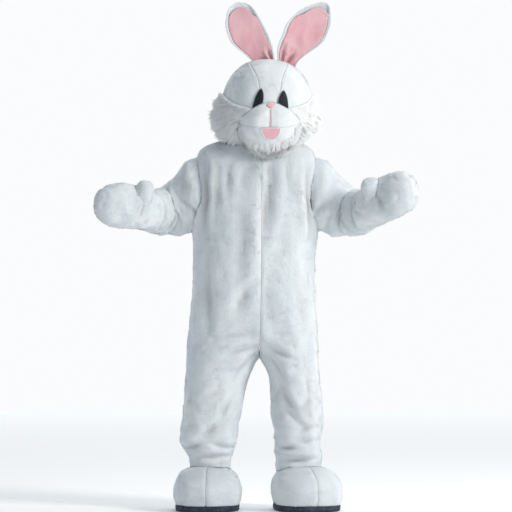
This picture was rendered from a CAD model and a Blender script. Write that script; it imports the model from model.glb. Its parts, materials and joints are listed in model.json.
"""Looks of the rabbit mascot costume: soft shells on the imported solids, with folds, pile and long fur.

Metres, +Z up, the front faces -Y and +X is on the viewer's right. Heights are counted from the soles.
"""

import json
import math

import bmesh
import bpy
import numpy as np
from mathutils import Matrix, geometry


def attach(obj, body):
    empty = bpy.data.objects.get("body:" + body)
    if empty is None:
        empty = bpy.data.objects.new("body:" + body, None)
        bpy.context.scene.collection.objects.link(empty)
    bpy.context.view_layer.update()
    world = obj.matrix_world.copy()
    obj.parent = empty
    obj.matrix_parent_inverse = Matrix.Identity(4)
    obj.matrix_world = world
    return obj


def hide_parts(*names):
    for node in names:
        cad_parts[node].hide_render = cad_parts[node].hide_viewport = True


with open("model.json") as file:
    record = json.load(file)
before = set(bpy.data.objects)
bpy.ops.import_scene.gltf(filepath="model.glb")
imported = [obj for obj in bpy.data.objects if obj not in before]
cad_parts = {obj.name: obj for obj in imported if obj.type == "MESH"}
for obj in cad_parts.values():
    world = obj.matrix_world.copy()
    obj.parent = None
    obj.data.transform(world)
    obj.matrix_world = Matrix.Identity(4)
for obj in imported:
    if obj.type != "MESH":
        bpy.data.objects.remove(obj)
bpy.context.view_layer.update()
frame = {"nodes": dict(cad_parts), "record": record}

BODY = "root"
SOLE_Z = -1.504
UP = np.array([0.0, 0.0, 1.0])
MM = 1000.0
SIDES = ("left", "right")

# Cloth pieces: kind of form, and the flat cut's width, length and area. Only the suit's panels hang.
CLOTH_LEVELS = 2
CLOTH_COLUMNS = ("kind", "width", "length", "area")
CLOTH = {
    "suit_front_left": ("suit", 0.48, 1.46, 0.53),
    "suit_front_right": ("suit", 0.44, 1.46, 0.47),
    "suit_back_left": ("suit", 0.48, 1.46, 0.53),
    "suit_back_right": ("suit", 0.44, 1.46, 0.47),
    "sleeve_left": ("arm", 0.56, 0.52, 0.24),
    "sleeve_right": ("arm", 0.56, 0.54, 0.25),
    "mitten_left_palm": ("arm", 0.27, 0.35, 0.068),
    "mitten_left_back": ("arm", 0.26, 0.32, 0.0605),
    "mitten_left_thumb": ("thumb", 0.22, 0.10, 0.0146),
    "mitten_right_palm": ("arm", 0.27, 0.35, 0.0685),
    "mitten_right_back": ("arm", 0.27, 0.33, 0.066),
    "mitten_right_thumb": ("thumb", 0.22, 0.10, 0.0142),
    **{f"boot_{side}_{half}": ("boot", 0.27, 0.46, 0.0955) for side in SIDES for half in ("outer", "inner")},
    "head_gusset": ("head", 0.20, 0.54, 0.081),
    "head_crown_left": ("head", 0.24, 0.46, 0.077),
    "head_crown_right": ("head", 0.24, 0.46, 0.077),
    "head_cheek_left": ("cheek", 0.30, 0.58, 0.105),
    "head_cheek_right": ("cheek", 0.30, 0.58, 0.103),
    "muzzle_pad_left": ("muzzle", 0.13, 0.14, 0.0130),
    "muzzle_pad_right": ("muzzle", 0.13, 0.14, 0.0130),
    "muzzle_jaw": ("muzzle", 0.35, 0.21, 0.0503),
    "ear_left_back": ("ear", 0.22, 0.30, 0.0414),
    "ear_right_back": ("ear", 0.22, 0.32, 0.0465),
    "ear_left_front": ("ear", 0.17, 0.26, 0.0297),
    "ear_right_front": ("ear", 0.18, 0.28, 0.0337),
    "eye_left": ("face", 0.045, 0.080, 0.0022),
    "eye_right": ("face", 0.045, 0.075, 0.0021),
    "nose_strip": ("strip", 0.010, 0.080, 0.0004),
    "mouth": ("face", 0.080, 0.058, 0.0034),
}
# Sewn edges that show round the face's pieces: the thread and the cord's radius.
PIPING = {"mouth": ("thread", 0.0018), "eye_left": ("shadow", 0.0011), "eye_right": ("shadow", 0.0011)}
PIPING_NEAR = 0.003

# Padded pieces and their subdivision steps.
PADDED = {"nose": 2, "boot_left_sole": 1, "boot_right_sole": 1}

# Middle lines of the body: height against x of the torso, the left leg and the right leg.
SUIT_HEIGHTS = (0.140, 0.247, 0.348, 0.448, 0.524, 0.600, 0.800)
LEFT_LEG_X = (-0.195, -0.202, -0.199, -0.183, -0.172, -0.155, -0.010)
RIGHT_LEG_X = (0.177, 0.168, 0.172, 0.167, 0.162, 0.148, -0.010)

# Middle line of each arm from the shoulder to the fingertips, and of each thumb: out, y and height.
ARM_PATHS = {
    "left": (
        (0.168, 0.000, 1.302), (0.2505, 0.000, 1.322), (0.2975, 0.006, 1.285), (0.3435, 0.012, 1.257),
        (0.390, 0.002, 1.244), (0.428, -0.052, 1.242), (0.456, -0.112, 1.246), (0.496, -0.190, 1.262),
        (0.538, -0.227, 1.268), (0.578, -0.247, 1.269), (0.672, -0.286, 1.270),
    ),
    "right": (
        (0.168, 0.000, 1.302), (0.2505, 0.000, 1.323), (0.300, 0.006, 1.288), (0.348, 0.012, 1.257),
        (0.396, 0.000, 1.239), (0.435, -0.054, 1.241), (0.464, -0.114, 1.255), (0.503, -0.190, 1.281),
        (0.542, -0.233, 1.301), (0.578, -0.263, 1.316), (0.665, -0.320, 1.350),
    ),
}
THUMB_PATHS = {
    "left": ((0.478, -0.207, 1.250), (0.466, -0.226, 1.320), (0.456, -0.234, 1.390)),
    "right": ((0.486, -0.207, 1.270), (0.470, -0.232, 1.335), (0.464, -0.245, 1.400)),
}
BOOT_CENTRES = {"left": (-0.203, -0.050, 0.050), "right": (0.203, -0.048, 0.050)}

# The head's bare form: centre, turn about the upright in degrees, half sizes, and how square its curve is.
HEAD_CENTRE = np.array([0.044, -0.015, 1.700 + SOLE_Z])
HEAD_TURN = 3.0
HEAD_HALF_WIDTH = 0.178
HEAD_HALF_DEPTH = 0.192
HEAD_HALF_ABOVE = 0.176
HEAD_HALF_BELOW = 0.200
HEAD_SQUARENESS = 2.25

# The puffed cheeks: how far they stand out, and where, in degrees above level and round from the front.
CHEEK_PUFF = 0.016
CHEEK_LEVEL = -20
CHEEK_LEVEL_SPREAD = 24
CHEEK_AROUND = 80
CHEEK_AROUND_SPREAD = 50
# The cloth under the long fur: its thickness over the bare head, and the depth over which it fades in.
CHEEK_BACKING = 0.016
CHEEK_FADE = 0.010

# Creases of the jumpsuit: front (-1) or back (+1), from and to in x and height, half width and rise.
CREASE_COLUMNS = ("face", "from_x", "from_height", "to_x", "to_height", "width", "rise")
CREASES = (
    # Closure: bump and hollow by the neck, ridge beside the hidden zip, trough and ridge to its right
    (-1, 0.002, 1.450, 0.016, 1.385, 0.017, 0.0120),
    (-1, 0.040, 1.445, 0.044, 1.385, 0.013, -0.0140),
    (-1, -0.004, 1.370, -0.030, 0.860, 0.020, 0.0095),
    (-1, 0.062, 1.460, 0.026, 1.120, 0.017, -0.0130),
    (-1, 0.098, 1.450, 0.052, 1.100, 0.020, 0.0090),
    (-1, -0.060, 1.300, -0.068, 0.900, 0.022, -0.0060),
    # Short gathers that hang from the neck edge
    (-1, -0.050, 1.440, -0.056, 1.330, 0.011, -0.0060),
    (-1, -0.088, 1.445, -0.090, 1.320, 0.012, 0.0060),
    (-1, -0.120, 1.440, -0.124, 1.300, 0.012, -0.0060),
    (-1, 0.130, 1.450, 0.126, 1.300, 0.012, -0.0060),
    (-1, 0.158, 1.450, 0.160, 1.250, 0.013, 0.0060),
    # Armholes: deep folds beside each, and the faint pressed lines of the left panel
    (-1, -0.222, 1.460, -0.226, 1.130, 0.016, -0.0150),
    (-1, -0.194, 1.450, -0.204, 1.150, 0.013, 0.0080),
    (-1, -0.168, 1.430, -0.182, 1.180, 0.013, -0.0080),
    (-1, 0.205, 1.460, 0.222, 1.100, 0.016, -0.0150),
    (-1, 0.180, 1.450, 0.190, 1.150, 0.014, 0.0080),
    (-1, 0.156, 1.430, 0.170, 1.200, 0.013, -0.0060),
    (-1, -0.170, 1.130, -0.105, 0.930, 0.007, 0.0030),
    (-1, -0.075, 1.050, -0.110, 0.930, 0.007, 0.0030),
    (-1, -0.150, 1.230, -0.060, 1.225, 0.006, 0.0020),
    # Belly: the slanting trough left of the seam, and long drapes to both sides
    (-1, -0.012, 0.960, -0.100, 0.810, 0.015, -0.0120),
    (-1, -0.045, 0.985, -0.125, 0.865, 0.017, 0.0080),
    (-1, 0.012, 0.920, -0.045, 0.770, 0.014, 0.0060),
    (-1, 0.052, 0.980, 0.066, 0.740, 0.020, -0.0050),
    (-1, 0.150, 1.020, 0.205, 0.700, 0.022, -0.0060),
    (-1, -0.215, 1.060, -0.190, 0.720, 0.020, -0.0070),
    # Creases that fan out from the crotch
    (-1, 0.006, 0.690, -0.140, 0.640, 0.012, -0.0100),
    (-1, 0.002, 0.665, -0.105, 0.540, 0.012, -0.0095),
    (-1, -0.004, 0.735, -0.180, 0.715, 0.014, -0.0070),
    (-1, -0.050, 0.610, -0.170, 0.590, 0.010, 0.0060),
    (-1, 0.026, 0.690, 0.160, 0.625, 0.012, -0.0090),
    (-1, 0.030, 0.665, 0.115, 0.540, 0.012, -0.0090),
    (-1, 0.040, 0.745, 0.190, 0.735, 0.014, -0.0060),
    (-1, 0.070, 0.600, 0.190, 0.540, 0.014, 0.0070),
    (-1, -0.100, 0.560, -0.220, 0.520, 0.014, 0.0060),
    (-1, -0.120, 0.510, -0.250, 0.450, 0.013, -0.0070),
    # Left knee and shin: the long curved fold, the bulge at the outside and the bunched hem
    (-1, -0.098, 0.480, -0.150, 0.360, 0.014, -0.0120),
    (-1, -0.150, 0.365, -0.240, 0.300, 0.014, -0.0140),
    (-1, -0.120, 0.520, -0.190, 0.390, 0.018, 0.0090),
    (-1, -0.300, 0.480, -0.235, 0.330, 0.014, 0.0100),
    (-1, -0.322, 0.318, -0.262, 0.286, 0.018, 0.0140),
    (-1, -0.320, 0.256, -0.210, 0.278, 0.010, -0.0130),
    (-1, -0.215, 0.280, -0.090, 0.262, 0.010, -0.0120),
    (-1, -0.270, 0.244, -0.110, 0.238, 0.011, 0.0080),
    (-1, -0.260, 0.216, -0.120, 0.222, 0.009, -0.0120),
    (-1, -0.210, 0.310, -0.095, 0.318, 0.012, 0.0090),
    # Right knee and shin: V-shaped folds above bunched rings
    (-1, 0.080, 0.520, 0.165, 0.400, 0.013, -0.0120),
    (-1, 0.170, 0.395, 0.240, 0.490, 0.013, -0.0120),
    (-1, 0.100, 0.440, 0.190, 0.345, 0.013, -0.0120),
    (-1, 0.120, 0.480, 0.185, 0.430, 0.014, 0.0090),
    (-1, 0.190, 0.350, 0.255, 0.390, 0.013, 0.0110),
    (-1, 0.150, 0.318, 0.250, 0.345, 0.011, -0.0110),
    (-1, 0.095, 0.330, 0.180, 0.318, 0.013, 0.0080),
    (-1, 0.085, 0.268, 0.165, 0.262, 0.010, -0.0160),
    (-1, 0.160, 0.275, 0.255, 0.290, 0.010, -0.0100),
    (-1, 0.090, 0.242, 0.250, 0.244, 0.011, 0.0090),
    (-1, 0.100, 0.206, 0.250, 0.216, 0.009, -0.0140),
    # Back: like folds, in other places
    (1, -0.010, 1.420, -0.012, 1.020, 0.016, -0.0080),
    (1, -0.080, 1.430, -0.060, 1.080, 0.020, 0.0090),
    (1, 0.090, 1.420, 0.050, 1.100, 0.020, 0.0090),
    (1, -0.150, 1.420, -0.110, 1.020, 0.016, -0.0090),
    (1, 0.150, 1.420, 0.130, 1.000, 0.016, -0.0090),
    (1, -0.220, 1.470, -0.226, 1.140, 0.015, -0.0130),
    (1, 0.210, 1.470, 0.220, 1.120, 0.015, -0.0130),
    (1, -0.200, 1.020, -0.060, 0.900, 0.016, -0.0080),
    (1, 0.180, 1.020, 0.060, 0.900, 0.016, -0.0080),
    (1, 0.000, 0.820, -0.160, 0.720, 0.014, -0.0110),
    (1, 0.020, 0.820, 0.170, 0.720, 0.014, -0.0110),
    (1, -0.010, 0.720, -0.130, 0.600, 0.014, -0.0100),
    (1, 0.030, 0.720, 0.130, 0.600, 0.014, -0.0100),
    (1, -0.270, 0.520, -0.110, 0.430, 0.014, -0.0110),
    (1, -0.100, 0.520, -0.230, 0.400, 0.016, 0.0090),
    (1, 0.250, 0.520, 0.100, 0.430, 0.014, -0.0110),
    (1, 0.090, 0.500, 0.210, 0.400, 0.016, 0.0090),
    (1, -0.290, 0.320, -0.120, 0.290, 0.012, -0.0110),
    (1, -0.290, 0.246, -0.110, 0.242, 0.011, -0.0130),
    (1, 0.090, 0.310, 0.240, 0.290, 0.012, -0.0110),
    (1, 0.090, 0.246, 0.250, 0.242, 0.011, -0.0130),
)
# How far creases stray from straight, over what distance, and the noise seeds for x and height.
CREASE_WANDER = 0.010
CREASE_WANDER_SIZE = 0.10
CREASE_WANDER_SEEDS = (3, 4)
# A trough this deep has its full tone, which covers this share of the pile's own colour.
FULL_TROUGH = 0.016
CREASE_TONE = 0.55
# The cloth pushed up on both sides of a trough: its share of the depth, and its place in half widths.
LIP_RISE = 0.35
LIP_PLACE = 2.0

# Where the jumpsuit's folds calm down: near the side seams and the centre seam.
SIDE_CALM = 0.03
SEAM_CALM = 0.03
SEAM_X = 0.02
SEAM_LEAST = 0.25
# Bunched cloth above the hem: heights where it starts and ends, and how fast.
ANKLE_TOP = 0.46
ANKLE_FADE = 0.12
HEM = 0.14
HEM_FADE = 0.04
# Fine wrinkles are stronger below this height than above it.
LEG_TOP = 0.80
LEG_WRINKLING = 1.3
TRUNK_WRINKLING = 0.8

# Soft unevenness: rise, size of the lumps (one number, or x, y and height) and seed.
ANKLE_BUNCH = (0.0065, (0.10, 0.10, 0.030), 11)
SUIT_DRAPE = (0.0070, (0.070, 0.070, 0.30), 12)
SUIT_DENTS = (0.0025, (0.035, 0.035, 0.05), 13)
ARM_WOBBLE = (0.012, 0.08, 21)
ARM_DENTS = (0.0040, 0.05, 22)
EAR_DENTS = (0.003, 0.05, 31)
BOOT_DENTS = (0.0030, (0.035, 0.060, 0.030), 41)
STUFFED_DENTS = {"head": (0.0024, 0.050, 41), "muzzle": (0.0020, 0.030, 42)}

# Thin wrinkles of crushed pile: depth, spacing (one number, or x, y and height) and seed.
SUIT_LONG_WRINKLES = (0.0055, (0.060, 0.060, 0.150), 51)
SUIT_CROSS_WRINKLES = (0.0040, (0.050, 0.050, 0.045), 61)
ARM_WRINKLES = (0.0055, 0.050, 71)
ARM_SMALL_WRINKLES = (0.0035, 0.030, 81)
BOOT_WRINKLES = (0.0035, (0.040, 0.080, 0.030), 91)
# How far a wrinkle bends and over what distance, how thin its line is, and the size of calm places.
WRINKLE_BEND = 0.012
WRINKLE_BEND_SIZE = 0.06
WRINKLE_THINNESS = 3.2
WRINKLE_CALM_SIZE = 0.12
# Tone for each metre of a wrinkle's depth.
WRINKLE_TONE = 30.0
BOOT_WRINKLE_TONE = 25.0

# Creases round both arms: share of the left and of the right arm's path, where None means not on that arm,
# degrees from the top towards the front, half widths along and round the arm, slant and rise.
ARM_CREASE_COLUMNS = ("left", "right", "angle", "width", "spread", "lean", "rise")
ARM_CREASES = (
    # Upper arm
    (0.06, 0.06, 80, 0.018, 70, 0.0006, -0.009),
    (0.12, 0.12, 100, 0.020, 60, -0.0004, 0.007),
    (0.19, 0.18, 120, 0.016, 60, -0.0005, -0.010),
    (0.27, 0.26, 95, 0.020, 70, 0.0005, 0.009),
    # Elbow and gathered forearm
    (0.335, 0.325, 100, 0.014, 80, 0.0004, -0.016),
    (0.385, 0.375, 75, 0.014, 55, -0.0004, 0.010),
    (0.425, None, 120, 0.012, 60, 0.0004, -0.013),
    (None, 0.420, 120, 0.012, 60, 0.0004, -0.012),
    (0.475, 0.465, 85, 0.015, 60, 0.0003, 0.009),
    (0.525, 0.520, 100, 0.012, 75, -0.0003, -0.014),
    # Mitten
    (0.60, 0.60, 60, 0.020, 40, 0.0004, 0.006),
    (0.735, None, 110, 0.012, 45, 0.0003, -0.009),
    (None, 0.775, 110, 0.013, 45, 0.0002, -0.010),
    (0.82, None, 110, 0.028, 50, -0.0003, 0.005),
    (None, 0.84, 110, 0.028, 50, -0.0003, 0.006),
    # Behind the arm
    (0.30, 0.30, 250, 0.020, 80, 0.0004, -0.009),
    (0.43, 0.42, 270, 0.022, 80, -0.0004, 0.008),
    (0.55, 0.55, 260, 0.014, 70, 0.0003, -0.010),
)

# Creases of the ears, from and to in x and height.
EAR_CREASES = (
    (0.050, 1.872, 0.000, 1.885, 0.006, -0.0070), (0.052, 1.876, 0.020, 1.915, 0.006, 0.0070),
    (0.056, 1.872, 0.036, 1.935, 0.005, -0.0080), (0.066, 1.872, 0.058, 1.925, 0.006, 0.0060),
    (0.100, 1.872, 0.108, 1.945, 0.005, -0.0060), (0.106, 1.872, 0.124, 1.950, 0.006, 0.0070),
    (0.112, 1.866, 0.150, 1.915, 0.006, -0.0080), (0.120, 1.862, 0.176, 1.905, 0.007, 0.0060),
    (0.104, 1.965, 0.172, 1.915, 0.007, 0.0040),
)
# The ears' creases stray over longer distances than the suit's: their noise is read at this scale.
EAR_WANDER_SCALE = 0.3
# The ear's root, where the pink is darkest: its height, how far the shade reaches, and the tones.
EAR_ROOT = 1.870
EAR_ROOT_SHADE = 0.022
EAR_ROOT_TONE = 0.6
EAR_TROUGH_TONE = 1.8
# The arched top of the pink lining: its height, the corners' drop, how square it is, and rows measured.
EAR_ARCH = 0.045
EAR_ARCH_DROP = 0.6
EAR_ARCH_POWER = 2.2
EAR_ARCH_ROWS = 8
# Share of the cut's width that shows of the strip under the nose, whose sides are folded in.
STRIP_NARROWING = 0.55

# Pile and fur grow where the cloth faces outward by at least this much.
OUTWARD_LEAST = 0.25
FIRST_PILE_SEED = 100

# Pile: tufts a square metre, their length and width, and how far they lie down (degrees above the cloth).
PILE_COLUMNS = ("density", "length", "width", "rise")
PILES = {
    "suit": (21000, 0.0105, 0.0040, 14.0),
    "arm": (29000, 0.0095, 0.0032, 15.0),
    "thumb": (44000, 0.0085, 0.0030, 16.0),
    "boot": (31000, 0.0085, 0.0030, 14.0),
    "head": (50000, 0.0100, 0.0026, 16.0),
    "ear": (45000, 0.0080, 0.0026, 22.0),
    "muzzle": (60000, 0.0085, 0.0024, 24.0),
}
PINK_PILE = (80000, 0.0038, 0.0020, 36.0)
# Nap: how far it swirls (radians) over what distance, and the size of patches where it rises more (degrees).
# Each tuft strays from it by these radians and degrees.
NAP_SWIRL = 0.55
NAP_SWIRL_SIZE = 0.060
NAP_PATCH = 0.030
NAP_RISE = 9
TUFT_STRAY = 0.22
TUFT_RISE = 5
# A tuft's root lies this far under the cloth's face, and its keel this far under the root.
TUFT_ROOT = 0.0012
TUFT_KEEL = 0.0008
TUFT_TIP_TONE = 0.8

# Long fur: strands of a cheek, the locks they gather in, and the rings from root to tip.
SHAG_STRANDS = 6400
SHAG_LOCKS = 420
SHAG_STATIONS = (0.0, 0.35, 0.70)
SHAG_TONES = (0.0, 0.3, 0.6, 0.9)
SHAG_WIDTH = 0.0034
SHAG_TAPER = 0.45
SHAG_ROOT = 0.002
# Degrees that strands stand up, their least and greatest length, and the point that they are combed from.
SHAG_LIFT = 27
SHAG_LIFT_STRAY = 4
SHAG_LENGTHS = (0.022, 0.075)
SHAG_CENTRE = HEAD_CENTRE + np.array([0.004, -0.10, -0.050])
# How strongly strands gather in their lock and sag, as shares of the gap and of the length.
SHAG_GATHER = 0.30
SHAG_SAG = 0.12
# The CAD cheek's outside counts as fur where it is this far out; strands stand out between these limits.
FUR_LEAST = 0.007
FUR_REACHES = (0.006, 0.050)
# Ruff under the muzzle: strands a square metre, how far they stand out, and where the muzzle's rim starts.
RUFF_STRANDS = 90000
RUFF_REACH = 0.026
RUFF_RIM = 0.86
RUFF_TOP = 0.02
MUZZLE_CENTRE = HEAD_CENTRE + np.array([0.0, 0.0, -0.100])
MUZZLE_HALVES = np.array([0.125, 0.086])
# How far back and down the cheeks' and the ruff's fur is combed, and how far its shading turns to the front.
COMB_BACK = {"cheek": 0.30, "muzzle": -0.10}
COMB_DOWN = -0.16
FRONT_LIGHT = {"cheek": 0.4, "muzzle": 1.5}

# Stage: half the floor's side, the soft light all round, and the lit wall's middle.
FLOOR_HALF = 8.5
WORLD_STRENGTH = 0.56
WALL_Z = 6.5 + SOLE_Z
# Lights: place, aim, watts, width and height, colour.
LIGHTS = {
    "key": ((4.1, -3.0, 1.4), (0.0, 0.0, -0.4), 185.0, (1.6, 1.6), "fffaf4"),
    "top": ((0.8, 0.6, 3.4), (0.0, 0.0, -0.4), 36.0, (2.0, 2.0), "ffffff"),
    "wall": ((0.0, 9.0, WALL_Z), (0.0, 0.0, WALL_Z), 1180.0, (28.0, 13.0), "ffffff"),
}
# Camera: level, this far in front and above the soles, and the width that it sees at the costume.
CAMERA_X = -0.004
CAMERA_DISTANCE = 14.0
CAMERA_HEIGHT = 1.060
FRAME_WIDTH = 2.145
SENSOR_WIDTH = 36.0


def to_linear(code):
    channels = [int(code[i : i + 2], 16) / 255 for i in (0, 2, 4)]
    return tuple(c / 12.92 if c <= 0.04045 else ((c + 0.055) / 1.055) ** 2.4 for c in channels)


def add_node(material, kind, inputs=None, stops=(), **settings):
    """Adds one shader node; inputs gives a socket a value or another node's output, stops colours a ramp."""
    tree = material.node_tree
    node = tree.nodes.new(kind)
    for name, value in settings.items():
        setattr(node, name, value)
    for place, code in stops[2:]:
        node.color_ramp.elements.new(place)
    for element, (place, code) in zip(node.color_ramp.elements if stops else (), stops):
        element.position = place
        element.color = (*to_linear(code), 1.0)
    for key, value in (inputs or {}).items():
        if isinstance(value, bpy.types.NodeSocket):
            tree.links.new(value, node.inputs[key])
        else:
            node.inputs[key].default_value = value
    return node


def new_material(name):
    material = bpy.data.materials.new(name)
    material.use_nodes = True
    shader = material.node_tree.nodes["Principled BSDF"]
    place = add_node(material, "ShaderNodeTexCoord").outputs["Object"]
    return material, shader, place


def set_cloth_gloss(shader, roughness, sheen, sheen_code):
    shader.inputs["Roughness"].default_value = roughness
    shader.inputs["Sheen Weight"].default_value = sheen
    shader.inputs["Sheen Roughness"].default_value = 0.45
    shader.inputs["Sheen Tint"].default_value = (*to_linear(sheen_code), 1.0)
    shader.inputs["Specular IOR Level"].default_value = 0.15


def plush_material(name, light, middle, dark, fold, patch_mm, tuft_mm):
    """Pile fabric: long soft patches where the nap lies another way, lighter tips, darker warm creases."""
    material, shader, place = new_material(name)
    link = material.node_tree.links.new
    down = {"Vector": place, "Scale": (1.0, 1.0, 0.38)}
    down = add_node(material, "ShaderNodeMapping", down).outputs["Vector"]
    patch = {"Vector": down, "Scale": MM / patch_mm, "Detail": 2.0, "Roughness": 0.5, "Distortion": 0.5}
    patch = add_node(material, "ShaderNodeTexNoise", patch).outputs["Fac"]
    patches = add_node(material, "ShaderNodeValToRGB", {"Fac": patch}, ((0.34, middle), (0.66, light)))
    tuft = {"Vector": down, "Scale": MM / tuft_mm, "Detail": 2.0, "Roughness": 0.6}
    tuft = add_node(material, "ShaderNodeTexNoise", tuft).outputs["Fac"]
    tufts = add_node(material, "ShaderNodeValToRGB", {"Fac": tuft}, ((0.30, dark), (0.56, "ffffff")))
    pair = {"Factor": 0.30, 6: patches.outputs["Color"], 7: tufts.outputs["Color"]}
    nap_tone = add_node(material, "ShaderNodeMix", pair, data_type="RGBA", blend_type="MULTIPLY").outputs[2]
    tip = add_node(material, "ShaderNodeAttribute", attribute_name="tip").outputs["Fac"]
    pair = {"Factor": tip, 6: nap_tone, 7: (*to_linear(light), 1.0)}
    tipped = add_node(material, "ShaderNodeMix", pair, data_type="RGBA").outputs[2]
    crease = add_node(material, "ShaderNodeAttribute", attribute_name="crease").outputs["Fac"]
    pair = {"Factor": crease, 6: tipped, 7: (*to_linear(fold), 1.0)}
    colour = add_node(material, "ShaderNodeMix", pair, data_type="RGBA").outputs[2]
    link(colour, shader.inputs["Base Color"])
    relief = {"Height": tuft, "Distance": tuft_mm * 0.0003}
    link(add_node(material, "ShaderNodeBump", relief).outputs["Normal"], shader.inputs["Normal"])
    set_cloth_gloss(shader, 0.95, 0.35, "f4f8fa")
    return material


def mesh_material():
    """Eye mesh: near-black knit with rows of small holes, which breaks up its faint shine."""
    material, shader, place = new_material("dark_eye_mesh")
    link = material.node_tree.links.new
    knit = {"Vector": place, "Scale": MM / 2.4, "Randomness": 0.15}
    knit = add_node(material, "ShaderNodeTexVoronoi", knit).outputs["Distance"]
    holes = add_node(material, "ShaderNodeValToRGB", {"Fac": knit}, ((0.30, "06090c"), (0.55, "191f28")))
    wear = {"Vector": place, "Scale": MM / 14.0, "Detail": 3.0}
    wear = add_node(material, "ShaderNodeTexNoise", wear).outputs["Fac"]
    wear = add_node(material, "ShaderNodeValToRGB", {"Fac": wear}, ((0.35, "c8ccd2"), (0.65, "ffffff")))
    pair = {"Factor": 1.0, 6: holes.outputs["Color"], 7: wear.outputs["Color"]}
    link(
        add_node(material, "ShaderNodeMix", pair, data_type="RGBA", blend_type="MULTIPLY").outputs[2],
        shader.inputs["Base Color"],
    )
    relief = {"Height": knit, "Distance": 0.0006}
    link(add_node(material, "ShaderNodeBump", relief).outputs["Normal"], shader.inputs["Normal"])
    shader.inputs["Roughness"].default_value = 0.55
    shader.inputs["Specular IOR Level"].default_value = 0.3
    return material


def sole_material():
    """Sole cloth: dark slate twill, its ribs drawn coarse enough to show, with scuffed, dusty patches."""
    material, shader, place = new_material("dark_sole_twill")
    link = material.node_tree.links.new
    dust = {"Vector": place, "Scale": MM / 22.0, "Detail": 4.0}
    dust = add_node(material, "ShaderNodeTexNoise", dust).outputs["Fac"]
    dust = add_node(material, "ShaderNodeValToRGB", {"Fac": dust}, ((0.35, "2f3641"), (0.70, "525b68")))
    weave = {"Vector": place, "Scale": MM / 9.0, "Distortion": 1.0}
    weave = add_node(material, "ShaderNodeTexWave", weave, bands_direction="DIAGONAL").outputs["Fac"]
    ribs = add_node(material, "ShaderNodeValToRGB", {"Fac": weave}, ((0.2, "a8acb2"), (0.7, "ffffff")))
    pair = {"Factor": 0.6, 6: dust.outputs["Color"], 7: ribs.outputs["Color"]}
    link(
        add_node(material, "ShaderNodeMix", pair, data_type="RGBA", blend_type="MULTIPLY").outputs[2],
        shader.inputs["Base Color"],
    )
    relief = {"Height": weave, "Distance": 0.0006}
    link(add_node(material, "ShaderNodeBump", relief).outputs["Normal"], shader.inputs["Normal"])
    set_cloth_gloss(shader, 0.85, 0.1, "8c96a4")
    return material


def thread_material(name, dark, light):
    """Sewing thread and narrow piping: twisted, and a little smoother and brighter than the pile."""
    material, shader, place = new_material(name)
    twist = {"Vector": place, "Scale": MM / 1.2, "Detail": 1.0}
    twist = add_node(material, "ShaderNodeTexNoise", twist).outputs["Fac"]
    tone = add_node(material, "ShaderNodeValToRGB", {"Fac": twist}, ((0.3, dark), (0.7, light)))
    material.node_tree.links.new(tone.outputs["Color"], shader.inputs["Base Color"])
    set_cloth_gloss(shader, 0.6, 0.1, "ffffff")
    return material


def soft_noise(points, size, seed):
    """Smooth noise from -1 to 1; size is its lumps' size in metres, one number or one for each axis."""
    at = points / np.array(size)
    cell = np.floor(at).astype(np.int64)
    t = at - cell
    t = t * t * (3 - 2 * t)
    total = np.zeros(len(points))
    for corner in range(8):
        step = np.array([corner & 1, corner >> 1 & 1, corner >> 2 & 1])
        key = (cell + step) @ np.array([73856093, 19349663, 83492791]) + seed * 7919
        key = ((key ^ (key >> 13)) * 1274126177) & 0x7FFFFFFF
        key = ((key ^ (key >> 15)) * 668265263) & 0x7FFFFFFF
        weight = np.prod(np.where(step == 1, t, 1 - t), axis=1)
        total += weight * (key / 0x3FFFFFFF - 1)
    return total


def normalised(vectors):
    return vectors / np.maximum(np.linalg.norm(vectors, axis=-1, keepdims=True), 1e-9)


def side_of(name):
    return "left" if "left" in name else "right"


def nearest_on_path(points, path, side):
    """For each point: the nearest place on the path, the path's direction there, and its share."""
    sign = -1 if side == "left" else 1
    line = np.array([(sign * x, y, h + SOLE_Z) for x, y, h in path])
    best = np.full(len(points), np.inf)
    place, along, share = np.zeros_like(points), np.zeros_like(points), np.zeros(len(points))
    lengths = np.linalg.norm(np.diff(line, axis=0), axis=1)
    before = np.concatenate([[0.0], np.cumsum(lengths)])
    for i, (start, end) in enumerate(zip(line[:-1], line[1:])):
        run = end - start
        t = np.clip((points - start) @ run / (run @ run), 0.0, 1.0)
        spot = start + t[:, None] * run
        away = np.linalg.norm(points - spot, axis=1)
        closer = away < best
        best[closer] = away[closer]
        place[closer] = spot[closer]
        along[closer] = normalised(run)
        share[closer] = (before[i] + t[closer] * lengths[i]) / before[-1]
    return place, along, share


def suit_middle(points, side):
    table = LEFT_LEG_X if side == "left" else RIGHT_LEG_X
    x = np.interp(points[:, 2] - SOLE_Z, SUIT_HEIGHTS, table)
    return np.stack([x, np.zeros(len(points)), points[:, 2]], axis=1)


def outward(kind, name, points):
    """The direction out of the costume's hollow at each point."""
    if kind == "suit":
        return normalised((points - suit_middle(points, side_of(name))) * np.array([1.0, 1.25, 1.0]))
    if kind in ("arm", "thumb"):
        path = (ARM_PATHS if kind == "arm" else THUMB_PATHS)[side_of(name)]
        return normalised(points - nearest_on_path(points, path, side_of(name))[0])
    if kind in ("boot", "sole"):
        x, y, height = BOOT_CENTRES[side_of(name)]
        return normalised(points - np.array([x, y, height + SOLE_Z]))
    if kind == "ear":
        return np.tile(np.array([0.0, -1.0 if "front" in name else 1.0, 0.0]), (len(points), 1))
    return normalised(points - HEAD_CENTRE)


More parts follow.
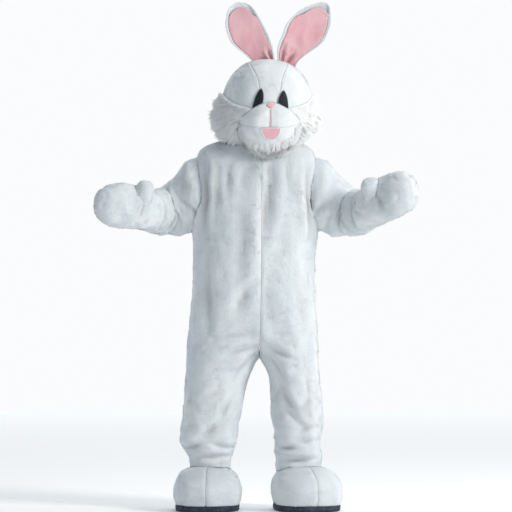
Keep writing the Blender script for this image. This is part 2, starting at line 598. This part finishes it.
def nap(kind, name, points):
    """The way the pile lies at each point."""
    if kind in ("arm", "thumb"):
        path = (ARM_PATHS if kind == "arm" else THUMB_PATHS)[side_of(name)]
        return nearest_on_path(points, path, side_of(name))[1] - 0.35 * UP
    if kind == "ear":
        return np.tile(UP, (len(points), 1))
    if kind in ("head", "cheek"):
        return normalised(points - HEAD_CENTRE) * np.array([0.6, 0.0, 0.0]) + np.array([0.0, 0.55, -0.75])
    if kind == "muzzle":
        spread = points - HEAD_CENTRE - np.array([0.0, 0.0, -0.06])
        return spread * np.array([1.0, 0.0, 1.0])
    return np.tile(-UP, (len(points), 1))


def read_points(mesh):
    points = np.empty(len(mesh.vertices) * 3)
    mesh.vertices.foreach_get("co", points)
    return points.reshape(-1, 3)


def soft_copy(node, levels, name):
    """A smooth copy of a CAD node's mesh: triangles paired to quads and subdivided, edges kept crisp."""
    work = bmesh.new()
    work.from_mesh(frame["nodes"][node].data)
    bmesh.ops.remove_doubles(work, verts=work.verts, dist=3e-5)
    bmesh.ops.dissolve_degenerate(work, edges=work.edges, dist=2e-5)
    bmesh.ops.join_triangles(work, faces=work.faces, angle_face_threshold=0.7, angle_shape_threshold=1.2)
    crease = work.edges.layers.float.new("crease_edge")
    for edge in work.edges:
        if len(edge.link_faces) == 2 and edge.calc_face_angle(0.0) > math.radians(55):
            edge[crease] = 0.75
    mesh = bpy.data.meshes.new(name)
    work.to_mesh(mesh)
    work.free()
    piece = bpy.data.objects.new(name, mesh)
    bpy.context.scene.collection.objects.link(piece)
    modifier = piece.modifiers.new("smooth", "SUBSURF")
    modifier.levels = modifier.render_levels = levels
    modifier.boundary_smooth = "PRESERVE_CORNERS"
    graph = bpy.context.evaluated_depsgraph_get()
    smooth = bpy.data.meshes.new_from_object(piece.evaluated_get(graph))
    piece.modifiers.clear()
    piece.data = smooth
    bpy.data.meshes.remove(mesh)
    smooth.name = name
    smooth.shade_smooth()
    return piece


def crease_field(x, height, points, rows, columns, face=None):
    """The rise of all creases at each place, and how deep in a trough it lies."""
    stray = [CREASE_WANDER * soft_noise(points, CREASE_WANDER_SIZE, seed) for seed in CREASE_WANDER_SEEDS]
    at = np.stack([x + stray[0], height + stray[1]], axis=1)
    total, trough = np.zeros(len(x)), np.zeros(len(x))
    for row in rows:
        crease = dict(zip(columns, row))
        here = np.ones(len(x), bool) if face is None else face == crease["face"]
        start = np.array([crease["from_x"], crease["from_height"]])
        run = np.array([crease["to_x"], crease["to_height"]]) - start
        t = np.clip((at - start) @ run / (run @ run), 0.0, 1.0)
        away = np.linalg.norm(at - start - t[:, None] * run, axis=1)
        width = crease["width"] * (0.8 + 0.5 * np.sin(math.pi * t))
        ends = np.sin(math.pi * (0.10 + 0.80 * t))
        fall = np.exp(-((away / width) ** 2)) * ends * here
        total += crease["rise"] * fall
        if crease["rise"] < 0:
            trough = np.maximum(trough, fall**3 * min(abs(crease["rise"]) / FULL_TROUGH, 1.0))
            lip = np.exp(-(((away - LIP_PLACE * width) / width) ** 2)) * ends * here
            total -= LIP_RISE * crease["rise"] * lip
    return total, trough


def lumps(points, look):
    rise, size, seed = look
    return rise * soft_noise(points, size, seed)


def wrinkles(points, look):
    """Depth of thin lines that wander over the cloth as in crushed pile, strong in some places only."""
    depth, size, seed = look
    bent = points + WRINKLE_BEND * soft_noise(points, WRINKLE_BEND_SIZE, seed)[:, None]
    line = np.clip(1.0 - WRINKLE_THINNESS * np.abs(soft_noise(bent, size, seed + 1)), 0.0, 1.0)
    strength = np.clip(0.45 + 0.9 * soft_noise(points, WRINKLE_CALM_SIZE, seed + 2), 0.0, 1.0)
    return depth * (line**2 * strength)


def suit_sculpt(points):
    height = points[:, 2] - SOLE_Z
    face = np.where(points[:, 1] < 0, -1, 1)
    total, trough = crease_field(points[:, 0], height, points, CREASES, CREASE_COLUMNS, face)
    calm = np.clip(np.abs(points[:, 1]) / SIDE_CALM, 0.0, 1.0)
    total, trough = total * calm, trough * calm
    ankle = np.clip((ANKLE_TOP - height) / ANKLE_FADE, 0.0, 1.0)
    ankle *= np.clip((height - HEM) / HEM_FADE, 0.0, 1.0)
    bunch = lumps(points, ANKLE_BUNCH) * ankle
    drape = lumps(points, SUIT_DRAPE) + lumps(points, SUIT_DENTS)
    seam = np.clip(np.abs(points[:, 0] - SEAM_X) / SEAM_CALM, SEAM_LEAST, 1.0)
    fine = wrinkles(points, SUIT_LONG_WRINKLES) + wrinkles(points, SUIT_CROSS_WRINKLES)
    fine *= np.where(height < LEG_TOP, LEG_WRINKLING, TRUNK_WRINKLING)
    rise = total + bunch + (drape - fine) * (1 - ankle) * seam
    return rise, np.maximum(trough, WRINKLE_TONE * fine * calm * seam)


def arm_sculpt(name, points):
    side = side_of(name)
    place, along, share = nearest_on_path(points, ARM_PATHS[side], side)
    out = normalised(points - place)
    up = normalised(UP - (along @ UP)[:, None] * along)
    front = np.cross(along, up) * (-1 if side == "left" else 1)
    angle = np.degrees(np.arctan2(np.sum(out * front, axis=1), np.sum(out * up, axis=1)))
    total, trough = np.zeros(len(points)), np.zeros(len(points))
    wobble = lumps(points, ARM_WOBBLE)
    for row in ARM_CREASES:
        crease = dict(zip(ARM_CREASE_COLUMNS, row))
        if crease[side] is None:
            continue
        off = (angle - crease["angle"] + 180) % 360 - 180
        away = share + wobble - crease[side] - crease["lean"] * off
        fall = np.exp(-((away / crease["width"]) ** 2) - (off / crease["spread"]) ** 2)
        total += crease["rise"] * fall
        if crease["rise"] < 0:
            trough = np.maximum(trough, fall**3 * min(abs(crease["rise"]) / FULL_TROUGH, 1.0))
    fine = wrinkles(points, ARM_WRINKLES) + wrinkles(points, ARM_SMALL_WRINKLES)
    total += lumps(points, ARM_DENTS) - fine
    return total, np.maximum(trough, WRINKLE_TONE * fine)


def ear_sculpt(name, points):
    height = points[:, 2] - SOLE_Z
    columns = CREASE_COLUMNS[1:]
    total, trough = crease_field(points[:, 0], height, points * EAR_WANDER_SCALE, EAR_CREASES, columns)
    above = np.clip(height - EAR_ROOT, 0.0, None)
    root = np.exp(-above / EAR_ROOT_SHADE) * (1 if "front" in name else 0)
    return total + lumps(points, EAR_DENTS), np.maximum(EAR_TROUGH_TONE * trough, EAR_ROOT_TONE * root)


def rounded_top(points):
    """Draws the corners of the pink lining in, so that its top is a soft arch inside the white rim."""
    height = points[:, 2]
    top = height.max()
    near_top = np.clip((height - (top - EAR_ARCH)) / EAR_ARCH, 0.0, 1.0)
    near_top = near_top**2 * (3 - 2 * near_top)
    levels = np.linspace(top - EAR_ARCH, top, EAR_ARCH_ROWS)
    rows = [points[np.abs(height - level) < EAR_ARCH / EAR_ARCH_ROWS, 0] for level in levels]
    low = np.interp(height, levels, [row.min() for row in rows])
    high = np.interp(height, levels, [row.max() for row in rows])
    across = np.clip(np.abs(2 * points[:, 0] - low - high) / (high - low), 0.0, 1.0)
    moved = points.copy()
    moved[:, 2] -= EAR_ARCH_DROP * EAR_ARCH * near_top * across**EAR_ARCH_POWER
    return moved


def sculpt(piece, kind, name):
    """Moves the cloth along its outward direction and notes how deep in a crease each point lies."""
    mesh = piece.data
    points = read_points(mesh)
    rise = trough = np.zeros(len(points))
    if kind == "suit":
        rise, trough = suit_sculpt(points)
    elif kind == "arm":
        rise, trough = arm_sculpt(name, points)
    elif kind == "ear":
        rise, trough = ear_sculpt(name, points)
    elif kind in ("boot", "thumb"):
        fine = wrinkles(points, BOOT_WRINKLES)
        rise, trough = lumps(points, BOOT_DENTS) - fine, BOOT_WRINKLE_TONE * fine
    elif kind in STUFFED_DENTS:
        rise = lumps(points, STUFFED_DENTS[kind])
    if kind == "cheek":
        points = thin_cheek(points)
    elif kind == "strip":
        middle = points[:, 0].mean()
        points[:, 0] = middle + STRIP_NARROWING * (points[:, 0] - middle)
    elif kind == "ear" and "front" in name:
        points = rounded_top(points)
    way = outward("ear", "front", points) if kind == "ear" else outward(kind, name, points)
    points = points + way * rise[:, None]
    mesh.vertices.foreach_set("co", points.ravel())
    layer = mesh.attributes.new("crease", "FLOAT", "POINT")
    layer.data.foreach_set("value", (CREASE_TONE * trough).astype(np.float32))
    mesh.update()


def head_reach(ways):
    """Distance from the head's centre to its bare form, as the CAD model has it."""
    turn = math.radians(HEAD_TURN)
    c, s = math.cos(turn), math.sin(turn)
    x = c * ways[:, 0] + s * ways[:, 1]
    y = -s * ways[:, 0] + c * ways[:, 1]
    z = ways[:, 2]
    n = HEAD_SQUARENESS
    tall = np.where(z > 0, HEAD_HALF_ABOVE, HEAD_HALF_BELOW)
    total = np.abs(x / HEAD_HALF_WIDTH) ** n + np.abs(y / HEAD_HALF_DEPTH) ** n + np.abs(z / tall) ** n
    reach = total ** (-1 / n)
    level = np.degrees(np.arcsin(np.clip(z, -1, 1)))
    around = np.degrees(np.arctan2(np.abs(x), -y))
    off_level = (level - CHEEK_LEVEL) / CHEEK_LEVEL_SPREAD
    off_around = (around - CHEEK_AROUND) / CHEEK_AROUND_SPREAD
    return reach + CHEEK_PUFF * np.exp(-(off_level**2) - off_around**2)


def thin_cheek(points):
    """Brings the cheek's outside, where the fur ends, down to the cloth that the fur grows from."""
    away = points - HEAD_CENTRE
    far = np.linalg.norm(away, axis=1)
    ways = away / far[:, None]
    bare = head_reach(ways)
    over = np.clip(far - bare, 0.0, None)
    backing = np.minimum(over, CHEEK_BACKING * np.tanh(over / CHEEK_FADE))
    return HEAD_CENTRE + ways * (np.minimum(far, bare) + backing)[:, None]


def surface_samples(piece, kind, name, count, rng):
    """Random points on the outside, with normals and crease depth; count is for a square metre.

    A cheek has SHAG_STRANDS points in all.
    """
    mesh = piece.data
    mesh.calc_loop_triangles()
    points = read_points(mesh)
    normals = np.empty(len(mesh.vertices) * 3)
    mesh.vertex_normals.foreach_get("vector", normals)
    normals = normals.reshape(-1, 3)
    triangles = np.empty(len(mesh.loop_triangles) * 3, np.int32)
    mesh.loop_triangles.foreach_get("vertices", triangles)
    triangles = triangles.reshape(-1, 3)
    corners = points[triangles]
    cross = np.cross(corners[:, 1] - corners[:, 0], corners[:, 2] - corners[:, 0])
    area = np.linalg.norm(cross, axis=1) / 2
    facing = np.sum(normalised(cross) * outward(kind, name, corners.mean(axis=1)), axis=1)
    area = np.where(facing > OUTWARD_LEAST, area, 0.0)
    total = area.sum()
    number = SHAG_STRANDS if kind == "cheek" else int(count * total)
    chosen = rng.choice(len(area), size=number, p=area / total)
    a, b = rng.random(number), rng.random(number)
    flip = a + b > 1
    a[flip], b[flip] = 1 - a[flip], 1 - b[flip]
    mix = np.stack([1 - a - b, a, b], axis=1)[:, :, None]
    spots = (corners[chosen] * mix).sum(axis=1)
    smooth = normalised((normals[triangles[chosen]] * mix).sum(axis=1))
    depth = np.empty(len(mesh.vertices))
    mesh.attributes["crease"].data.foreach_get("value", depth)
    depth = (depth[triangles[chosen]] * mix[:, :, 0]).sum(axis=1)
    return spots, smooth, depth


def joined_mesh(name, points, faces, normals, tip=None, crease=None):
    """One mesh of many small closed forms, with normals, and tones for the tip and for creases."""
    mesh = bpy.data.meshes.new(name)
    mesh.vertices.add(len(points))
    mesh.vertices.foreach_set("co", points.astype(np.float32).ravel())
    mesh.loops.add(faces.size)
    mesh.loops.foreach_set("vertex_index", faces.astype(np.int32).ravel())
    mesh.polygons.add(len(faces))
    mesh.polygons.foreach_set("loop_start", np.arange(0, faces.size, faces.shape[1], dtype=np.int32))
    mesh.update(calc_edges=True)
    mesh.shade_smooth()
    mesh.normals_split_custom_set_from_vertices(normalised(normals).astype(np.float32))
    for layer, values in (("tip", tip), ("crease", crease)):
        if values is not None:
            mesh.attributes.new(layer, "FLOAT", "POINT").data.foreach_set("value", values.astype(np.float32))
    piece = bpy.data.objects.new(name, mesh)
    bpy.context.scene.collection.objects.link(piece)
    return piece


def along_cloth(directions, normals):
    return normalised(directions - np.sum(directions * normals, axis=1, keepdims=True) * normals)


def grow_pile(piece, kind, name, pile, seed):
    """Short tufts, each a thin closed wedge that lies along the nap."""
    look = dict(zip(PILE_COLUMNS, pile))
    rng = np.random.default_rng(seed)
    spots, normals, depth = surface_samples(piece, kind, name, look["density"], rng)
    number = len(spots)
    flow = along_cloth(nap(kind, name, spots), normals)
    side = np.cross(normals, flow)
    swirl = NAP_SWIRL * soft_noise(spots, NAP_SWIRL_SIZE, seed + 1) + rng.normal(0, TUFT_STRAY, number)
    flow = flow * np.cos(swirl)[:, None] + side * np.sin(swirl)[:, None]
    side = np.cross(normals, flow)
    patch = NAP_RISE * soft_noise(spots, NAP_PATCH, seed + 2)
    rise = np.radians(look["rise"] + patch + rng.normal(0, TUFT_RISE, number))
    patch = 0.25 * soft_noise(spots, NAP_PATCH, seed + 3)
    length = look["length"] * (0.85 + patch + rng.uniform(-0.2, 0.2, number))
    way = flow * np.cos(rise)[:, None] + normals * np.sin(rise)[:, None]
    half = look["width"] / 2 * rng.uniform(0.7, 1.2, number)[:, None]
    root = spots - normals * TUFT_ROOT
    tips = root + way * length[:, None]
    left, right = root + side * half, root - side * half
    under = root + flow * half - normals * TUFT_KEEL
    points = np.stack([left, right, tips, under], axis=1).reshape(-1, 3)
    base = 4 * np.arange(number)[:, None]
    wedge = np.array([[0, 1, 2], [0, 2, 3], [1, 3, 2], [0, 3, 1]])
    faces = (base[:, :, None] + wedge[None]).reshape(-1, 3)
    lean = rng.normal(0, 0.10, (number, 1)) * side + rng.normal(0.06, 0.08, (number, 1)) * flow
    normal = normalised(normals + lean)
    tip = np.tile([0.0, 0.0, TUFT_TIP_TONE, 0.0], number)
    return joined_mesh(f"{name}_pile", points, faces, np.repeat(normal, 4, axis=0), tip, np.repeat(depth, 4))


def ruff_roots(spots, normals, seed):
    """The roots along the muzzle's lower rim, and how far the strands stand out from each."""
    share = np.linalg.norm((spots - MUZZLE_CENTRE)[:, [0, 2]] / MUZZLE_HALVES, axis=1)
    share += 0.05 * soft_noise(spots, 0.02, seed)
    rim = (share > RUFF_RIM) & (spots[:, 2] < MUZZLE_CENTRE[2] + RUFF_TOP)
    spots, normals = spots[rim], normals[rim]
    below = np.clip((MUZZLE_CENTRE[2] - spots[:, 2]) / MUZZLE_HALVES[1], 0.0, 1.0)
    return spots, normals, RUFF_REACH * below**2


def cheek_reach(name, spots):
    """How far strands may stand out from the cheek's cloth, up to the CAD cheek's outside."""
    away = read_points(frame["nodes"][name].data) - HEAD_CENTRE
    far = np.linalg.norm(away, axis=1)
    ways = away / far[:, None]
    over = far - head_reach(ways)
    here = normalised(spots - HEAD_CENTRE)
    near = np.argmax(here @ ways.T - np.where(over > FUR_LEAST, 0.0, 2.0)[None], axis=1)
    return np.clip(over[near] - CHEEK_BACKING, *FUR_REACHES)


def strand_faces(number):
    """The faces of all strands: rings of three points each, closed at the root and drawn to a point."""
    rings = len(SHAG_STATIONS)
    last = 3 * rings
    strip = [(2, 1, 0)]
    for ring in range(rings - 1):
        for k in range(3):
            a, b = 3 * ring + k, 3 * ring + (k + 1) % 3
            strip += [(a, b, b + 3), (a, b + 3, a + 3)]
    strip += [(last - 3, last - 2, last), (last - 2, last - 1, last), (last - 1, last - 3, last)]
    return ((last + 1) * np.arange(number)[:, None, None] + np.array(strip)[None]).reshape(-1, 3)


def grow_shag(piece, kind, name, seed):
    """Long strands in soft locks, combed out from the muzzle as far as the CAD cheek's outside."""
    rng = np.random.default_rng(seed)
    spots, normals, _ = surface_samples(piece, kind, name, RUFF_STRANDS, rng)
    if kind == "muzzle":
        spots, normals, reach = ruff_roots(spots, normals, seed)
    else:
        reach = cheek_reach(name, spots)
    number = len(spots)
    spread = (spots - SHAG_CENTRE) * np.array([1.0, 0.35, 1.0])
    spread = normalised(spread) + np.array([0.0, COMB_BACK[kind], COMB_DOWN])
    flow = along_cloth(spread, normals)
    front = np.array([0.0, -1.0, 0.3]) * FRONT_LIGHT[kind]
    locks = spots[rng.choice(number, SHAG_LOCKS, replace=False)]
    nearest = np.argmin(np.linalg.norm(spots[:, None] - locks[None], axis=2), axis=1)
    turn = 0.35 * soft_noise(spots, 0.05, seed) + rng.normal(0, 0.10, SHAG_LOCKS)[nearest]
    turn += rng.normal(0, 0.08, number)
    side = np.cross(normals, flow)
    flow = flow * np.cos(turn)[:, None] + side * np.sin(turn)[:, None]
    side = np.cross(normals, flow)
    lift = SHAG_LIFT + rng.normal(0, SHAG_LIFT_STRAY, SHAG_LOCKS)[nearest]
    lift = np.radians(lift + rng.normal(0, SHAG_LIFT_STRAY, number))
    length = np.clip(reach / np.sin(lift), *SHAG_LENGTHS) * rng.uniform(0.60, 1.08, number)
    way = flow * np.cos(lift)[:, None] + normals * np.sin(lift)[:, None]
    gather = locks[nearest] - spots
    points, normal_out = [], []
    for station in SHAG_STATIONS + (1.0,):
        middle = spots - normals * SHAG_ROOT + way * (length * station)[:, None]
        sag = UP * (SHAG_SAG * length * station**2)[:, None]
        middle = middle + gather * (SHAG_GATHER * station**1.5) - sag
        width = SHAG_WIDTH * (1.0 - SHAG_TAPER * station)
        for angle in (math.pi / 2, math.pi * 7 / 6, math.pi * 11 / 6) if station < 1.0 else (None,):
            across = 0.0 * side
            if angle:
                across = side * (0.8 * math.cos(angle)) + normals * (0.5 * math.sin(angle))
            points.append(middle + across * width)
            normal_out.append(normals + front + 0.5 * across + 0.2 * way)
    tip = np.tile(np.repeat(SHAG_TONES, (3, 3, 3, 1)), number)
    points = np.stack(points, axis=1).reshape(-1, 3)
    normal_out = np.stack(normal_out, axis=1).reshape(-1, 3)
    return joined_mesh(f"{name}_fur", points, strand_faces(number), normal_out, tip)


def finish_piece(piece, material, node=None):
    piece.data.materials.clear()
    piece.data.materials.append(material)
    if node:
        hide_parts(node)
    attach(piece, BODY)


def build_materials():
    # Suit, sleeves, mittens, boots: cool white plush, wide patches where the nap turns, brown-grey creases
    plush = plush_material("cool_white_plush", "e0e5e8", "d0d8dc", "c0cacf", "7d706a", 120.0, 3.0)
    # Crown and gusset of the head: the same plush brushed up, so lighter and with weaker creases
    crown = plush_material("crown_plush", "e8ecee", "dbe2e5", "c8d0d4", "8f8a88", 110.0, 2.6)
    # Cheeks and ruff: long fur, near white, with a little grey low between its locks
    shag = plush_material("long_white_shag", "f2f4f5", "e2e7e9", "dde2e5", "a8a4a1", 60.0, 2.4)
    # Muzzle: fine even velour, the smoothest and cleanest white of the face
    velour = plush_material("muzzle_velour", "e9edef", "dde3e6", "d3d9dc", "a29c99", 70.0, 2.0)
    # Nose, mouth and ear linings: dusty pink velour that turns to rose in the folds at the ear's root
    pink = plush_material("pink_velour_pile", "e9c0c6", "dfaab3", "d5979f", "b04f5b", 60.0, 1.8)
    return {
        "white_plush": plush,
        "crown": crown,
        "white_shag": shag,
        "white_velour": velour,
        "pink_velour": pink,
        "dark_mesh": mesh_material(),
        "dark_sole_cloth": sole_material(),
        "thread": thread_material("white_thread", "c3c9cc", "f2f4f5"),
        "shadow": thread_material("grey_thread", "7d858a", "a3abb0"),
    }


def slot_of(node):
    for part in frame["record"]["subparts"]:
        if part["node"] == node:
            return part["material_slot"]
    raise KeyError(node)


def build_cloth(materials):
    """Every cut piece as a soft shell, with its pile."""
    for seed, (node, row) in enumerate(CLOTH.items(), start=FIRST_PILE_SEED):
        look = dict(zip(CLOTH_COLUMNS, row))
        kind, slot = look["kind"], slot_of(node)
        piece = soft_copy(node, CLOTH_LEVELS, f"{node}_cloth")
        sculpt(piece, kind, node)
        material = materials["crown"] if kind == "head" else materials[slot]
        finish_piece(piece, material, node)
        if kind == "cheek" or node == "muzzle_jaw":
            finish_piece(grow_shag(piece, kind, node, seed), materials["white_shag"])
        if slot == "pink_velour" and kind == "ear":
            finish_piece(grow_pile(piece, kind, node, PINK_PILE, seed), material)
        elif kind in PILES:
            finish_piece(grow_pile(piece, kind, node, PILES[kind], seed), material)


def build_piping(materials):
    """A thin cord round the mouth and the eyes, on the front edge of each."""
    for node, (thread, radius) in PIPING.items():
        points = read_points(frame["nodes"][node].data)
        flat = points[:, [0, 2]]
        rim = flat[geometry.convex_hull_2d([tuple(p) for p in flat])]
        curve = bpy.data.curves.new(f"{node}_piping", "CURVE")
        curve.dimensions = "3D"
        curve.bevel_depth = radius
        curve.bevel_resolution = 1
        spline = curve.splines.new("POLY")
        spline.points.add(len(rim) - 1)
        spline.use_cyclic_u = True
        for place, (x, z) in zip(spline.points, rim):
            near = np.linalg.norm(flat - (x, z), axis=1) < PIPING_NEAR
            place.co = (x, points[near, 1].min(), z, 1.0)
        piece = bpy.data.objects.new(curve.name, curve)
        bpy.context.scene.collection.objects.link(piece)
        bpy.ops.object.select_all(action="DESELECT")
        piece.select_set(True)
        bpy.context.view_layer.objects.active = piece
        bpy.ops.object.convert(target="MESH")
        finish_piece(piece, materials[thread])


def build_padded(materials):
    for node, levels in PADDED.items():
        piece = soft_copy(node, levels, f"{node}_form")
        finish_piece(piece, materials[slot_of(node)], node)


def build_stage():
    mesh = bpy.data.meshes.new("floor")
    corners = [(x, y, SOLE_Z) for x, y in ((-1, -1), (1, -1), (1, 1), (-1, 1))]
    mesh.from_pydata([(FLOOR_HALF * x, FLOOR_HALF * y, z) for x, y, z in corners], [], [(0, 1, 2, 3)])
    floor = bpy.data.objects.new("floor", mesh)
    bpy.context.scene.collection.objects.link(floor)
    material, shader, _ = new_material("pale_floor")
    shader.inputs["Base Color"].default_value = (*to_linear("fdfdfd"), 1.0)
    shader.inputs["Roughness"].default_value = 0.95
    shader.inputs["Specular IOR Level"].default_value = 0.0
    mesh.materials.append(material)
    world = bpy.data.worlds.new("studio")
    world.use_nodes = True
    soft = world.node_tree.nodes["Background"]
    soft.inputs["Color"].default_value = (*to_linear("e6eef4"), 1.0)
    soft.inputs["Strength"].default_value = WORLD_STRENGTH
    seen = add_node(world, "ShaderNodeLightPath").outputs["Is Camera Ray"]
    backdrop = add_node(world, "ShaderNodeBackground", {"Color": (*to_linear("fbfcfd"), 1.0)}).outputs[0]
    blend = add_node(world, "ShaderNodeMixShader", {0: seen, 1: soft.outputs[0], 2: backdrop}).outputs[0]
    world.node_tree.links.new(blend, world.node_tree.nodes["World Output"].inputs["Surface"])
    bpy.context.scene.world = world
    bpy.context.scene.view_settings.view_transform = "Standard"


def aim(obj, target):
    way = np.array(target) - np.array(obj.location)
    obj.rotation_euler = (
        math.atan2(math.hypot(way[0], way[1]), -way[2]),
        0.0,
        math.atan2(-way[0], way[1]),
    )


def build_lights():
    """A soft key from the viewer's right, a weak top light, and a lit wall behind that whitens the floor."""
    for name, (place, target, power, (width, height), colour) in LIGHTS.items():
        data = bpy.data.lights.new(name, "AREA")
        data.shape = "RECTANGLE"
        data.energy = power
        data.size = width
        data.size_y = height
        data.color = to_linear(colour)
        lamp = bpy.data.objects.new(name, data)
        lamp.location = place
        bpy.context.scene.collection.objects.link(lamp)
        aim(lamp, target)


def build_camera():
    data = bpy.data.cameras.new("photo_view")
    data.sensor_width = SENSOR_WIDTH
    data.lens = data.sensor_width * CAMERA_DISTANCE / FRAME_WIDTH
    camera = bpy.data.objects.new("photo_view", data)
    camera.location = (CAMERA_X, -CAMERA_DISTANCE, CAMERA_HEIGHT + SOLE_Z)
    bpy.context.scene.collection.objects.link(camera)
    camera.rotation_euler = (math.pi / 2, 0.0, 0.0)
    bpy.context.scene.camera = camera


def main():
    materials = build_materials()
    build_stage()
    build_lights()
    build_camera()
    build_cloth(materials)
    build_padded(materials)
    build_piping(materials)


main()
